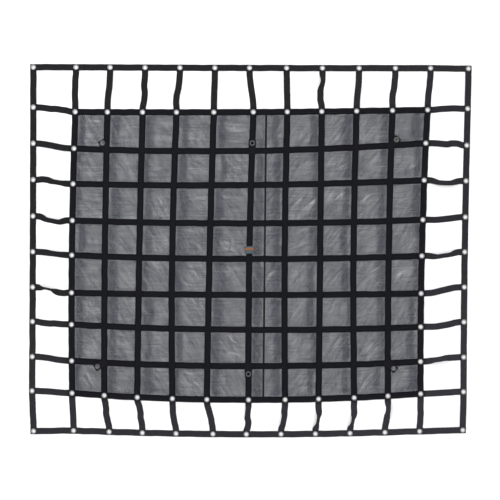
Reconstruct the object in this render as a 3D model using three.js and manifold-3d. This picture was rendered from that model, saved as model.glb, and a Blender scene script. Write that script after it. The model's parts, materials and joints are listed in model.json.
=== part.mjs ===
// Cargo net, laid out flat: a grid of webbing straps with a mesh panel sewn under its inner cells.
// Millimetres, +Z up. The origin is on the surface that the net lies on, under the middle of the net.
// Columns are the straps along Y, numbered 0 to 12 from -X to +X.
// Rows are the straps along X, numbered 0 to 10 from +Y to -Y.

import * as THREE from 'three';
import { mergeVertices } from 'three/addons/utils/BufferGeometryUtils.js';
import Module from 'manifold-3d';

const wasm = await Module();
wasm.setup();

// ---------------------------------------------------------------- driving dimensions

const LAST_COLUMN = 12;
const LAST_ROW = 10;
const WEB_WIDTH = 26;          // one-inch polyester webbing
const WEB_THICK = 1.5;
const MESH_THICK = 0.6;
const GAP = 0.3;               // clearance left between pieces that touch

const GROMMET_OUTER = 23;
const GROMMET_BORE = 11.5;
const FLANGE_THICK = 0.8;
const BARREL_OUTER = 14;
const STRAP_HOLE = 15.2;       // the hole punched in the webbing for the barrel
const ROUND_SIDES = 12;

const STRAP_END = 11;          // how far an inner strap runs past the middle of the border strap
const END_TAPER = 0.55;        // border straps have their end corners cut off
const MARGIN_STEPS = 5;        // stretches that a slack strap has between border and panel
const SEWN = 0.09;             // the part of each margin, at both its ends, that is sewn flat

const PANEL_INSET = 7;         // the panel's cut edge lies under the inner half of the edge strap
const SEAM_TOP_X = 65;
const SEAM_BOTTOM_X = 53;
const SEAM_COLUMN = 6.4;
const TAPE_WIDTH = 8;
const TAPE_THICK = 0.5;

const LABEL = { width: 42, height: 30, thick: 0.6, corner: 2, x: -2, y: 3, turn: 2 };

const TAB_WIDTH = 28;
const TAB_HINGE = 19;          // from the middle of the crossing to the line where the tab bends
const TAB_END = 46;            // from the middle of the crossing to the tab's cut end
const TAB_GROMMET = 32;        // from the middle of the crossing to the tab's grommet

// How the slack net lies. Each strap's place is given at five stations along it:
// border, panel edge, middle, panel edge, border.
const COLUMN_X = [
  [-889, -714, -574, -431, -288, -145, -3, 149, 296, 446, 595, 739, 894],
  [-889, -717, -585, -441, -302, -149, 13, 152, 293, 436, 583, 727, 891],
  [-891, -731, -596, -455, -320, -167, -4, 141, 286, 423, 567, 703, 879],
  [-894, -730, -598, -463, -319, -178, -7, 143, 280, 426, 564, 698, 874],
  [-888, -724, -578, -442, -304, -153, -16, 126, 267, 409, 552, 694, 871],
];
const ROW_Y = [
  [752, 588, 440, 291, 142, -4, -149, -290, -434, -574, -739],
  [752, 569, 419, 274, 124, -18, -172, -302, -451, -583, -737],
  [749, 568, 409, 269, 112, -34, -181, -324, -473, -611, -752],
  [748, 577, 441, 289, 127, -21, -175, -312, -454, -586, -740],
  [746, 582, 432, 286, 138, -5, -149, -292, -436, -578, -735],
];

// Slack strap ends that have rolled part of the way onto their edge, by margin, in degrees.
const ROLLS = [
  { row: 6, side: 'start', roll: 66, middle: 0.5, spread: 0.4 },
  { row: 3, side: 'end', roll: -34, middle: 0.45, spread: 0.35 },
  { row: 5, side: 'end', roll: 30, middle: 0.5, spread: 0.35 },
  { row: 8, side: 'end', roll: -36, middle: 0.45, spread: 0.35 },
  { column: 8, side: 'start', roll: 26, middle: 0.4, spread: 0.3 },
  { column: 6, side: 'end', roll: 28, middle: 0.7, spread: 0.25 },
  { column: 8, side: 'end', roll: 56, middle: 0.66, spread: 0.28 },
  { column: 9, side: 'end', roll: 48, middle: 0.66, spread: 0.28 },
  { column: 10, side: 'end', roll: -38, middle: 0.6, spread: 0.3 },
];

// Heights of the undersides, from the surface up. Rows lie on the mesh and columns lie on the rows.
// Round the border, the crossing straps run under the border straps.
const MESH_LEVEL = 0;
const TAPE_LEVEL = MESH_LEVEL + MESH_THICK + GAP;
const ROW_LEVEL = TAPE_LEVEL + TAPE_THICK + GAP;
const COLUMN_LEVEL = ROW_LEVEL + WEB_THICK + GAP;
const TOP_LEVEL = COLUMN_LEVEL + WEB_THICK + GAP;
const BORDER_LOW = FLANGE_THICK + GAP;
const BORDER_HIGH = BORDER_LOW + WEB_THICK + GAP;
const TAB_LEVEL = TOP_LEVEL + FLANGE_THICK + GAP;

// ---------------------------------------------------------------- materials

const webbing = new THREE.MeshStandardMaterial({ color: 0x29292d, roughness: 0.85, metalness: 0 });
const tabWebbing = new THREE.MeshStandardMaterial({ color: 0x323238, roughness: 0.85, metalness: 0 });
const mesh = new THREE.MeshStandardMaterial({ color: 0x8f9094, roughness: 0.75, metalness: 0 });
const seamTape = new THREE.MeshStandardMaterial({ color: 0x1f1f23, roughness: 0.8, metalness: 0 });
const labelCloth = new THREE.MeshStandardMaterial({ color: 0xb97b3c, roughness: 0.7, metalness: 0 });
const nickel = new THREE.MeshStandardMaterial({ color: 0xdadad6, roughness: 0.3, metalness: 0.95 });

// ---------------------------------------------------------------- the lay of the net

const mix = THREE.MathUtils.lerp;

// One strap's place at any position along it, from its five stations: an S in each slack margin,
// and one shallow bow over the panel.
function between(stations, position, last) {
  const [start, near, middle, far, end] = stations;
  if (position < 1) {
    return mix(start, near, THREE.MathUtils.smoothstep(position, SEWN, 1 - SEWN));
  }
  if (position > last - 1) {
    return mix(far, end, THREE.MathUtils.smoothstep(position, last - 1 + SEWN, last - SEWN));
  }
  const across = (position - last / 2) / (last / 2 - 1);
  const lean = (far - near) / 2;
  const bow = (far + near) / 2 - middle;
  return middle + lean * across + bow * across * across;
}

// The value for a place between two neighbouring straps.
function betweenNeighbours(strapValue, position, last) {
  const lower = Math.min(Math.floor(position), last - 1);
  return mix(strapValue(lower), strapValue(lower + 1), position - lower);
}

// The point of the net at column c and row r, which may be fractions.
function lay(c, r) {
  const columnX = (column) => between(COLUMN_X.map((station) => station[column]), r, LAST_ROW);
  const rowY = (row) => between(ROW_Y.map((station) => station[row]), c, LAST_COLUMN);
  return new THREE.Vector2(
    betweenNeighbours(columnX, c, LAST_COLUMN),
    betweenNeighbours(rowY, r, LAST_ROW),
  );
}

// ---------------------------------------------------------------- solids

function toManifold(geometry) {
  const plain = geometry.clone();
  plain.deleteAttribute('normal');
  plain.deleteAttribute('uv');
  const merged = mergeVertices(plain, 1e-4);
  return new wasm.Manifold(new wasm.Mesh({
    numProp: 3,
    vertProperties: Float32Array.from(merged.attributes.position.array),
    triVerts: Uint32Array.from(merged.index.array),
  }));
}

function fromManifold(solid) {
  const { vertProperties, triVerts } = solid.getMesh();
  const geometry = new THREE.BufferGeometry();
  geometry.setAttribute('position', new THREE.BufferAttribute(vertProperties, 3));
  geometry.setIndex(new THREE.BufferAttribute(triVerts, 1));
  geometry.computeVertexNormals();
  return geometry;
}

// A flat band through stations of { x, y, level, width, roll }. level is the height of the underside.
// A rolled station turns about the band's middle line, and stands on its lower edge.
function band(stations, thick) {
  const positions = [];
  stations.forEach((station, i) => {
    const before = stations[Math.max(i - 1, 0)];
    const after = stations[Math.min(i + 1, stations.length - 1)];
    const along = new THREE.Vector2(after.x - before.x, after.y - before.y).normalize();
    const sine = Math.sin(station.roll);
    const cosine = Math.cos(station.roll);
    const half = station.width / 2;
    const height = station.level + thick / 2 + half * Math.abs(sine);
    for (const [side, face] of [[-1, -1], [1, -1], [1, 1], [-1, 1]]) {
      const sideways = side * half * cosine - face * (thick / 2) * sine;
      const up = side * half * sine + face * (thick / 2) * cosine;
      positions.push(station.x - along.y * sideways, station.y + along.x * sideways, height + up);
    }
  });
  const index = [];
  const quad = (a, b, c, d) => index.push(a, b, c, a, c, d);
  for (let i = 0; i < stations.length - 1; i += 1) {
    const near = 4 * i;
    const far = near + 4;
    for (let k = 0; k < 4; k += 1) {
      const next = (k + 1) % 4;
      quad(near + k, near + next, far + next, far + k);
    }
  }
  const end = 4 * (stations.length - 1);
  quad(3, 2, 1, 0);
  quad(end, end + 1, end + 2, end + 3);
  const geometry = new THREE.BufferGeometry();
  geometry.setAttribute('position', new THREE.Float32BufferAttribute(positions, 3));
  geometry.setIndex(index);
  geometry.computeVertexNormals();
  return geometry;
}

// Cuts an upright round hole through the whole height at each point.
function punch(geometry, points) {
  if (points.length === 0) {
    return geometry;
  }
  let solid = toManifold(geometry);
  for (const point of points) {
    const drill = new THREE.CylinderGeometry(STRAP_HOLE / 2, STRAP_HOLE / 2, 40, ROUND_SIDES);
    drill.rotateX(Math.PI / 2);
    drill.translate(point.x, point.y, 0);
    solid = solid.subtract(toManifold(drill));
  }
  return fromManifold(solid);
}

// A set eyelet: a barrel with a flange at each end, standing on z = 0.
function grommetGeometry(height) {
  const bore = GROMMET_BORE / 2;
  const barrel = BARREL_OUTER / 2;
  const outer = GROMMET_OUTER / 2;
  const profile = [
    [bore, 0],
    [outer, 0],
    [outer, FLANGE_THICK],
    [barrel, FLANGE_THICK],
    [barrel, height - FLANGE_THICK],
    [outer, height - FLANGE_THICK],
    [outer, height],
    [bore, height],
    [bore, 0],
  ].map(([radius, z]) => new THREE.Vector2(radius, z));
  const geometry = new THREE.LatheGeometry(profile, ROUND_SIDES);
  geometry.rotateX(Math.PI / 2);
  return geometry;
}

function plate(shape, thick) {
  return new THREE.ExtrudeGeometry(shape, { depth: thick, bevelEnabled: false, curveSegments: 4 });
}

// ---------------------------------------------------------------- the assembly

const group = new THREE.Group();

function addPiece(name, geometry, material, place = new THREE.Vector3(), turn = 0) {
  const piece = new THREE.Mesh(geometry, material.clone());
  piece.name = name;
  piece.position.copy(place);
  piece.rotation.z = turn;
  group.add(piece);
}

// Half of the border crossings carry a grommet here: every second one along the rows, three down each side.
function hasGrommet(c, r) {
  const onRow = (r === 0 || r === LAST_ROW) && c % 2 === 0;
  const onColumn = (c === 0 || c === LAST_COLUMN) && [2, 5, 8].includes(r);
  return onRow || onColumn;
}

function strapName(kind, number, last) {
  if (number === 0) {
    return kind === 'row' ? 'border_strap_top' : 'border_strap_left';
  }
  if (number === last) {
    return kind === 'row' ? 'border_strap_bottom' : 'border_strap_right';
  }
  return kind === 'row' ? `long_strap_${number}` : `cross_strap_${number}`;
}

// How far a strap is rolled at a position along it: a smooth hump within its slack margin.
function rollAt(kind, number, position, last) {
  let roll = 0;
  for (const bend of ROLLS.filter((entry) => entry[kind] === number)) {
    const inMargin = bend.side === 'start' ? 1 - position : position - (last - 1);
    const fromBorder = bend.side === 'start' ? position : last - position;
    const offset = Math.abs(fromBorder - bend.middle) / bend.spread;
    if (inMargin >= 0 && offset < 1) {
      roll = THREE.MathUtils.degToRad(bend.roll) * (1 + Math.cos(Math.PI * offset)) / 2;
    }
  }
  return roll;
}

// The height of a strap's underside at a position along it.
function levelAt(kind, number, position, last) {
  const isBorder = number === 0 || number === (kind === 'row' ? LAST_ROW : LAST_COLUMN);
  if (isBorder && kind === 'row') {
    return BORDER_HIGH;
  }
  const inner = kind === 'row' ? ROW_LEVEL : COLUMN_LEVEL;
  const level = isBorder ? BORDER_HIGH : inner;
  return between([BORDER_LOW, level, level, level, BORDER_LOW], position, last);
}

// The positions along a strap where its band has a station.
function stationPositions(isBorder, last) {
  const steps = isBorder ? 1 : MARGIN_STEPS;
  const margin = [0];
  for (let i = 0; i <= steps; i += 1) {
    margin.push(mix(SEWN, 1 - SEWN, i / steps));
  }
  const crossings = Array.from({ length: last - 1 }, (_, i) => i + 1);
  return [...margin, ...crossings, ...margin.map((position) => last - position).reverse()];
}

// A station moved outward past the end of a strap.
function past(station, inner, distance, width) {
  const outward = new THREE.Vector2(station.x - inner.x, station.y - inner.y).setLength(distance);
  return { ...station, x: station.x + outward.x, y: station.y + outward.y, width };
}

function addStrap(kind, number, straps, last) {
  const isBorder = number === 0 || number === straps;
  const at = (position) => (kind === 'row' ? lay(position, number) : lay(number, position));
  const stations = stationPositions(isBorder, last).map((position) => ({
    x: at(position).x,
    y: at(position).y,
    level: levelAt(kind, number, position, last),
    roll: rollAt(kind, number, position, last),
    width: WEB_WIDTH,
  }));
  const ends = isBorder
    ? [[WEB_WIDTH / 2, WEB_WIDTH * END_TAPER], [WEB_WIDTH / 4, WEB_WIDTH]]
    : [[STRAP_END, WEB_WIDTH]];
  const first = ends.map(([distance, width]) => past(stations[0], stations[1], distance, width));
  const final = ends.map(([distance, width]) => past(stations.at(-1), stations.at(-2), distance, width));
  const holes = [];
  for (let i = 0; i <= last; i += 1) {
    const carries = kind === 'row' ? hasGrommet(i, number) : hasGrommet(number, i);
    if (carries) {
      holes.push(at(i));
    }
  }
  const line = [...first, ...stations, ...final.reverse()];
  addPiece(strapName(kind, number, straps), punch(band(line, WEB_THICK), holes), webbing);
}

for (let r = 0; r <= LAST_ROW; r += 1) {
  addStrap('row', r, LAST_ROW, LAST_COLUMN);
}
for (let c = 0; c <= LAST_COLUMN; c += 1) {
  addStrap('column', c, LAST_COLUMN, LAST_ROW);
}

const borderGrommet = grommetGeometry(BORDER_HIGH + WEB_THICK + GAP + FLANGE_THICK);
for (let r = 0; r <= LAST_ROW; r += 1) {
  for (let c = 0; c <= LAST_COLUMN; c += 1) {
    if (hasGrommet(c, r)) {
      const { x, y } = lay(c, r);
      addPiece(`border_grommet_${c}_${r}`, borderGrommet, nickel, new THREE.Vector3(x, y, 0));
    }
  }
}

// The seam between the two mesh panels, at a row position.
function seamPoint(r) {
  const x = mix(SEAM_TOP_X, SEAM_BOTTOM_X, (r - 1) / (LAST_ROW - 2));
  return new THREE.Vector2(x, lay(SEAM_COLUMN, r).y);
}

// A mesh panel between its edge column and the seam. side is -1 for the left panel and 1 for the right.
function panelShape(side, edgeColumn, seamColumn) {
  const outline = [];
  const shifted = (point, x, y) => new THREE.Vector2(point.x + x, point.y + y);
  const inward = -side * PANEL_INSET;
  const columns = [];
  for (let c = edgeColumn - side; side < 0 ? c <= seamColumn : c >= seamColumn; c -= side) {
    columns.push(c);
  }
  outline.push(shifted(lay(edgeColumn, 1), inward, -PANEL_INSET));
  columns.forEach((c) => outline.push(shifted(lay(c, 1), 0, -PANEL_INSET)));
  outline.push(shifted(seamPoint(1), side * GAP, -PANEL_INSET));
  outline.push(shifted(seamPoint(LAST_ROW - 1), side * GAP, PANEL_INSET));
  columns.reverse().forEach((c) => outline.push(shifted(lay(c, LAST_ROW - 1), 0, PANEL_INSET)));
  outline.push(shifted(lay(edgeColumn, LAST_ROW - 1), inward, PANEL_INSET));
  for (let r = LAST_ROW - 2; r >= 2; r -= 1) {
    outline.push(shifted(lay(edgeColumn, r), inward, 0));
  }
  return new THREE.Shape(outline);
}

const meshPlace = new THREE.Vector3(0, 0, MESH_LEVEL);
addPiece('mesh_panel_left', plate(panelShape(-1, 1, 6), MESH_THICK), mesh, meshPlace);
addPiece('mesh_panel_right', plate(panelShape(1, LAST_COLUMN - 1, 7), MESH_THICK), mesh, meshPlace);

const tapeEnds = [seamPoint(1), seamPoint(LAST_ROW - 1)].map((point) => ({
  x: point.x,
  y: point.y - Math.sign(point.y) * PANEL_INSET,
  level: TAPE_LEVEL,
  roll: 0,
  width: TAPE_WIDTH,
}));
addPiece('mesh_seam_tape', band(tapeEnds, TAPE_THICK), seamTape);

function roundedRectangle(width, height, corner) {
  const x = width / 2;
  const y = height / 2;
  const shape = new THREE.Shape();
  shape.moveTo(corner - x, -y);
  shape.absarc(x - corner, corner - y, corner, -Math.PI / 2, 0);
  shape.absarc(x - corner, y - corner, corner, 0, Math.PI / 2);
  shape.absarc(corner - x, y - corner, corner, Math.PI / 2, Math.PI);
  shape.absarc(corner - x, corner - y, corner, Math.PI, 1.5 * Math.PI);
  return shape;
}

addPiece(
  'label_patch',
  plate(roundedRectangle(LABEL.width, LABEL.height, LABEL.corner), LABEL.thick),
  labelCloth,
  new THREE.Vector3(LABEL.x, LABEL.y, TOP_LEVEL),
  THREE.MathUtils.degToRad(LABEL.turn),
);

// Anchor tabs sewn onto six crossings, each with a grommet in its free end.
// turn is the way that the free end points, in degrees from +X.
const TABS = [
  { name: 'upper_left', column: 2, row: 2, turn: 122 },
  { name: 'upper_middle', column: 6, row: 2, turn: 88 },
  { name: 'upper_right', column: 10, row: 2, turn: 48 },
  { name: 'lower_left', column: 2, row: 8, turn: 210 },
  { name: 'lower_middle', column: 6, row: 8, turn: 270 },
  { name: 'lower_right', column: 10, row: 8, turn: 318 },
];

const tabGrommet = grommetGeometry(2 * (FLANGE_THICK + GAP) + WEB_THICK);
const tabFlap = punch(
  band([TAB_HINGE + GAP, TAB_END].map((x) => ({
    x,
    y: 0,
    level: 0,
    roll: 0,
    width: TAB_WIDTH,
  })), WEB_THICK),
  [{ x: TAB_GROMMET, y: 0 }],
);
for (const tab of TABS) {
  const { x, y } = lay(tab.column, tab.row);
  const turn = THREE.MathUtils.degToRad(tab.turn);
  const out = new THREE.Vector3(TAB_GROMMET * Math.cos(turn), TAB_GROMMET * Math.sin(turn), 0);
  addPiece(`anchor_tab_${tab.name}`, tabFlap, tabWebbing, new THREE.Vector3(x, y, TAB_LEVEL), turn);
  const grommetPlace = new THREE.Vector3(x, y, TOP_LEVEL).add(out);
  addPiece(`tab_grommet_${tab.name}`, tabGrommet, nickel, grommetPlace);
}

export default group;
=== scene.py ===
# Cargo net with a mesh panel, laid out flat: its looks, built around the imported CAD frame.
# Metres, +Z up. Columns are the straps along Y, numbered 0 to 12 from -X to +X.
# Rows are the straps along X, numbered 0 to 10 from +Y to -Y. The frame's node names count the same way.

import json
import math

import bpy
import numpy as np
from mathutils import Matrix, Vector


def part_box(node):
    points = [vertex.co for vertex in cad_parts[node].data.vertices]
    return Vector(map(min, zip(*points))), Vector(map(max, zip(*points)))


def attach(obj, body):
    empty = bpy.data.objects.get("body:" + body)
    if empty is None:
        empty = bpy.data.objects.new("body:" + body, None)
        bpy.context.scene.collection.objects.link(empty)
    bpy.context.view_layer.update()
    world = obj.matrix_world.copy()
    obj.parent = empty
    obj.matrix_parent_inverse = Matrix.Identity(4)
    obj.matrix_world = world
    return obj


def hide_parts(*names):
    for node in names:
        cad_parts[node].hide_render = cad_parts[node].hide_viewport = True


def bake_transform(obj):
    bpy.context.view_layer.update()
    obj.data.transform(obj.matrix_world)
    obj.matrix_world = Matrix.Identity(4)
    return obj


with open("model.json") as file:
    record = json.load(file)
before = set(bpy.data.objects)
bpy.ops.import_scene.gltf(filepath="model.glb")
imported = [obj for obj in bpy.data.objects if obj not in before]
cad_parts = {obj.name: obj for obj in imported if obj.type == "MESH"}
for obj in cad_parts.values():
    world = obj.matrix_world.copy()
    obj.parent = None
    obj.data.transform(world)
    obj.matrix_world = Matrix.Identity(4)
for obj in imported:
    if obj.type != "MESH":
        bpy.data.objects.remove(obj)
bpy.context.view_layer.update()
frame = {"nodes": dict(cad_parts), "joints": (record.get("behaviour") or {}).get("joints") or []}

# ---- driving values

MM = 0.001
SEED = 41

LAST_COLUMN = 12
LAST_ROW = 10
WEB_HALF = 13 * MM  # half the width of the webbing
WEB_THICK = 1.5 * MM
STRAP_OVERHANG = 11 * MM  # how far an inner strap runs past the middle of the border strap
BORDER_OVERHANG = 13 * MM

LINE_STEP = 4 * MM  # how closely the frame's straps are read
LINE_INSET = 6 * MM  # and how far in from their ends the reading starts
LINE_SOFTNESS = 11 * MM
BAND_STEP = 8 * MM  # the longest step between two stations of a band
HOLE_STEP = 3 * MM  # the step round a grommet's hole, along and across
HOLE_REACH = 2  # the punched block is this many steps out from its middle
HOLE_RADIUS = 8.3 * MM

FLOOR_REST = 0.5 * MM  # the underside of a slack strap that lies on the floor
MESH_REST = 1.4 * MM  # and of one that lies on the mesh
SEAM_LIFT = 0.6 * MM  # how much a row rises over the seam tape
SEAM_SPREAD = 14 * MM
HELD = 16 * MM  # a strap is held flat this near a crossing
FREE = 44 * MM  # and is slack beyond this
BORDER_ARCH = 2.5 * MM  # the most that slack lifts a strap between two crossings
INNER_ARCH = 3.5 * MM
RIPPLE = 0.9 * MM  # smaller unevenness: up and down, sideways, across the width, in roll
WOBBLE = 0.7 * MM
CUP = 0.3 * MM
TWIST = math.radians(3)

GROMMET_OUTER = 10.75 * MM
GROMMET_BORE = 7.0 * MM
BORDER_GROMMET_HEIGHT = 5.5 * MM
EDGE_GROMMET_HEIGHT = 6.0 * MM
TAB_GROMMET_HEIGHT = 3.7 * MM
ROUND_SIDES = 32

PANEL_STEP = 4 * MM
PANEL_INSET = 7 * MM  # the panel's cut edge lies under the inner half of the edge strap
PANEL_LEVEL = 0.8 * MM
PANEL_GAP = 0.3 * MM  # between each panel's edge and the middle of the seam
WASHER_LIFT = 1.05 * MM  # how much a panel rises over the washers along its edge
BAND_LIFT = 5.5 * MM  # the highest band, fold and swell of the slack mesh
FOLD_LIFT = 3.6 * MM
SWELL_LIFT = 1.6 * MM
PANEL_FLAT = {"left": (0.775, 1.165), "right": (0.635, 1.165)}
MESH_PITCH = 2.0 * MM

SEAM_X = 60 * MM  # about where the seam lies
TAPE_HALF = 4 * MM
TAPE_THICK = 0.5 * MM

LABEL_WIDTH = 42 * MM
LABEL_HEIGHT = 30 * MM
LABEL_THICK = 0.6 * MM
LABEL_TURN = math.radians(2)
LABEL_STEP = 1 * MM
LABEL_CORNER = 2 * MM  # the corners' radius, and how far in from the edges the stitches run

TAB_HALF = 15 * MM
TAB_SEWN = 16 * MM  # how far the tab reaches back over its crossing
TAB_BEYOND = 13 * MM  # from the middle of the tab's grommet to the tab's cut end
TAB_SEWN_LEVEL = 5.3 * MM
TAB_FLAP_LEVEL = 6.4 * MM

STITCH_LENGTH = 3.2 * MM
STITCH_PITCH = 4.0 * MM
THREAD_RADIUS = 0.34 * MM
THREAD_LIFT = 0.12 * MM  # from the webbing's surface to the middle of the thread
CROSSING_BOX = 9.5 * MM  # half the side of the box sewn at an inner crossing
BESIDE_EYE = 11.5 * MM  # the lines beside a grommet: how far from it, and half their length
BESIDE_REACH = 12.5 * MM
EDGE_LINES = (4 * MM, 10 * MM)  # the two lines along the mesh's edge, from the strap's middle
SEAM_LINES = (-2.6 * MM, 2.6 * MM)
TAB_BOX = (-13 * MM, 12 * MM, 10.5 * MM)


def smoothstep(low, high, value):
    """0 up to low, 1 from high on, and a smooth rise between them."""
    share = np.clip((value - low) / (high - low), 0, 1)
    return share * share * (3 - 2 * share)


def random_for(*numbers):
    return np.random.default_rng([SEED, *numbers])


def waves(rng, shortest, longest, count=5):
    """A smooth random curve from about -1 to 1, as a function of a place in metres."""
    lengths = rng.uniform(shortest, longest, count)
    phases = rng.uniform(0, 2 * math.pi, count)
    heights = rng.uniform(0.5, 1.0, count)
    heights *= 1.6 / heights.sum()

    def curve(place):
        return sum(h * np.sin(2 * math.pi * place / l + p) for h, l, p in zip(heights, lengths, phases))

    return curve


def rows_at(places, known, rows):
    """Rows of three numbers at some places, between the rows that are known at others."""
    return np.stack([np.interp(places, known, rows[:, k]) for k in range(3)], axis=-1)


def length_along(points):
    """How far along its line of points each one lies."""
    return np.concatenate([[0], np.cumsum(np.linalg.norm(np.diff(points, axis=0), axis=1))])


def frames_along(directions):
    """For each direction, the unit vectors along it, level to its left, and up from both."""
    along = directions / np.linalg.norm(directions, axis=1)[:, None]
    left = np.stack([-along[:, 1], along[:, 0], np.zeros(len(along))], axis=1)
    left /= np.linalg.norm(left, axis=1)[:, None]
    return along, left, np.cross(along, left)


# ---- meshes

def new_object(name, vertices, faces, uv=None, attributes=None, flat_faces=()):
    """A mesh object from arrays. uv has one pair for each vertex, and so has each attribute one number."""
    used = np.unique(np.concatenate([np.asarray(face) for face in faces]))
    renumber = np.full(len(vertices), -1)
    renumber[used] = np.arange(len(used))
    mesh = bpy.data.meshes.new(name)
    mesh.from_pydata(
        np.asarray(vertices)[used].tolist(), [], [renumber[np.asarray(face)].tolist() for face in faces]
    )
    smooth = np.ones(len(faces), bool)
    smooth[list(flat_faces)] = False
    mesh.polygons.foreach_set("use_smooth", smooth)
    if uv is not None:
        corners = np.zeros(len(mesh.loops), int)
        mesh.loops.foreach_get("vertex_index", corners)
        layer = mesh.uv_layers.new(name="UVMap")
        layer.data.foreach_set("uv", np.asarray(uv)[used][corners].ravel())
    for label, values in (attributes or {}).items():
        attribute = mesh.attributes.new(label, "FLOAT", "POINT")
        attribute.data.foreach_set("value", np.asarray(values, float)[used])
    mesh.validate()
    made = bpy.data.objects.new(name, mesh)
    bpy.context.scene.collection.objects.link(made)
    return made


def grid_faces(columns, rows):
    """The numbers of a grid's vertices, counted along each column in turn, and its faces."""
    number = np.arange(columns * rows).reshape(columns, rows)
    faces = np.stack([number[:-1, :-1], number[1:, :-1], number[1:, 1:], number[:-1, 1:]], axis=-1)
    return number, faces.reshape(-1, 4)


def finish_piece(piece, material, body="root", nodes=()):
    piece.data.materials.append(material)
    if body is not None:
        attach(piece, body)
    if nodes:
        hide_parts(*nodes)
    return piece


# ---- reading the frame's straps

def soften(values):
    """Evens out a row of samples over LINE_SOFTNESS, and keeps its two ends."""
    sigma = LINE_SOFTNESS / LINE_STEP
    reach = int(3 * sigma)
    weights = np.exp(-0.5 * (np.arange(-reach, reach + 1) / sigma) ** 2)
    before = 2 * values[0] - values[reach:0:-1]
    after = 2 * values[-1] - values[-2:-reach - 2:-1]
    return np.convolve(np.concatenate([before, values, after]), weights / weights.sum(), "valid")


class Line:
    """The middle line of one of the frame's bands: where it lies across, and its underside, at every
    place along it. axis is 0 for a band along X and 1 for one along Y."""

    def __init__(self, node, axis):
        self.axis = axis
        mesh = frame["nodes"][node].data
        points = np.array([v.co[:] for v in mesh.vertices])
        ends = np.array([e.vertices[:] for e in mesh.edges])
        first, second = points[ends[:, 0]], points[ends[:, 1]]
        low, high = points[:, axis].min() + LINE_INSET, points[:, axis].max() - LINE_INSET
        self.along = np.linspace(low, high, round((high - low) / LINE_STEP) + 1)
        sections = [self.section(first, second, place) for place in self.along]
        self.across, self.under = (soften(np.array(column)) for column in zip(*sections))

    def section(self, first, second, place):
        cut = (first[:, self.axis] - place) * (second[:, self.axis] - place) < 0
        start, step = first[cut], second[cut] - first[cut]
        points = start + step * ((place - start[:, self.axis]) / step[:, self.axis])[:, None]
        across, height = points[:, 1 - self.axis], points[:, 2]
        return (across.max() + across.min()) / 2, height.min()

    def across_at(self, place):
        """The place across, which runs straight on past either end."""
        inside = np.interp(place, self.along, self.across)
        slope_before = (self.across[4] - self.across[0]) / (self.along[4] - self.along[0])
        slope_after = (self.across[-1] - self.across[-5]) / (self.along[-1] - self.along[-5])
        before = np.minimum(place - self.along[0], 0) * slope_before
        after = np.maximum(place - self.along[-1], 0) * slope_after
        return inside + before + after

    def under_at(self, place):
        return np.interp(place, self.along, self.under)


def strap_nodes(first, inner, last_inner, last):
    middle = [f"{inner}_{number}" for number in range(1, last_inner + 1)]
    return [f"border_strap_{first}", *middle, f"border_strap_{last}"]


NODES = {
    "row": strap_nodes("top", "long_strap", LAST_ROW - 1, "bottom"),
    "column": strap_nodes("left", "cross_strap", LAST_COLUMN - 1, "right"),
}
ROWS = [Line(node, 0) for node in NODES["row"]]
COLUMNS = [Line(node, 1) for node in NODES["column"]]
SEAM = Line("mesh_seam_tape", 1)


LINES = {"row": ROWS, "column": COLUMNS}
CELLS = [(c, r) for c in range(LAST_COLUMN + 1) for r in range(LAST_ROW + 1)]


def find_crossing(c, r):
    x, y = 0.0, 0.0
    for _ in range(8):
        y = ROWS[r].across_at(x)
        x = COLUMNS[c].across_at(y)
    return float(x), float(y)


CROSSINGS = np.array([[find_crossing(c, r) for r in range(LAST_ROW + 1)] for c in range(LAST_COLUMN + 1)])


def on_border(c, r):
    return c in (0, LAST_COLUMN) or r in (0, LAST_ROW)


def on_mesh_edge(c, r):
    return not on_border(c, r) and (c in (1, LAST_COLUMN - 1) or r in (1, LAST_ROW - 1))


def has_grommet(c, r):
    return on_border(c, r) or on_mesh_edge(c, r)


# ---- straps

ACROSS = np.array([-13, -12.8, -12.3, -9, -6, -3, 0, 3, 6, 9, 12.3, 12.8, 13]) / 13
BULGE = np.array([0, 0.7, 1, 1, 1, 1, 1, 1, 1, 1, 1, 0.7, 0])


def lightness_at(x, y):
    """How light the webbing is made, from 0 over the mesh to 1 in the margins on the right and at the bottom.
    """
    outside_x = np.maximum(COLUMNS[1].across_at(y) - x, x - COLUMNS[LAST_COLUMN - 1].across_at(y))
    outside_y = np.maximum(y - ROWS[1].across_at(x), ROWS[LAST_ROW - 1].across_at(x) - y)
    margin = smoothstep(0, 30 * MM, np.maximum(outside_x, outside_y))
    right = smoothstep(-0.2, 0.85, x)
    bottom = 1 - smoothstep(-0.7, 0.1, y)
    return margin * np.clip(0.42 + 0.3 * right + 0.38 * bottom, 0, 1)


def stations_between(start, end, holes):
    """Places along a band: close together round each hole, and at most BAND_STEP apart elsewhere."""
    reach = HOLE_REACH + 2
    knots = [hole + k * HOLE_STEP for hole in holes for k in range(-reach, reach + 1)]
    knots = sorted(k for k in knots if start + 0.3 * HOLE_STEP < k < end - 0.3 * HOLE_STEP)
    places = [start]
    for knot in [*knots, end]:
        gap = knot - places[-1]
        count = max(1, math.ceil(gap / BAND_STEP))
        places += list(np.linspace(places[-1], knot, count + 1)[1:])
    return np.array(places)


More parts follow.
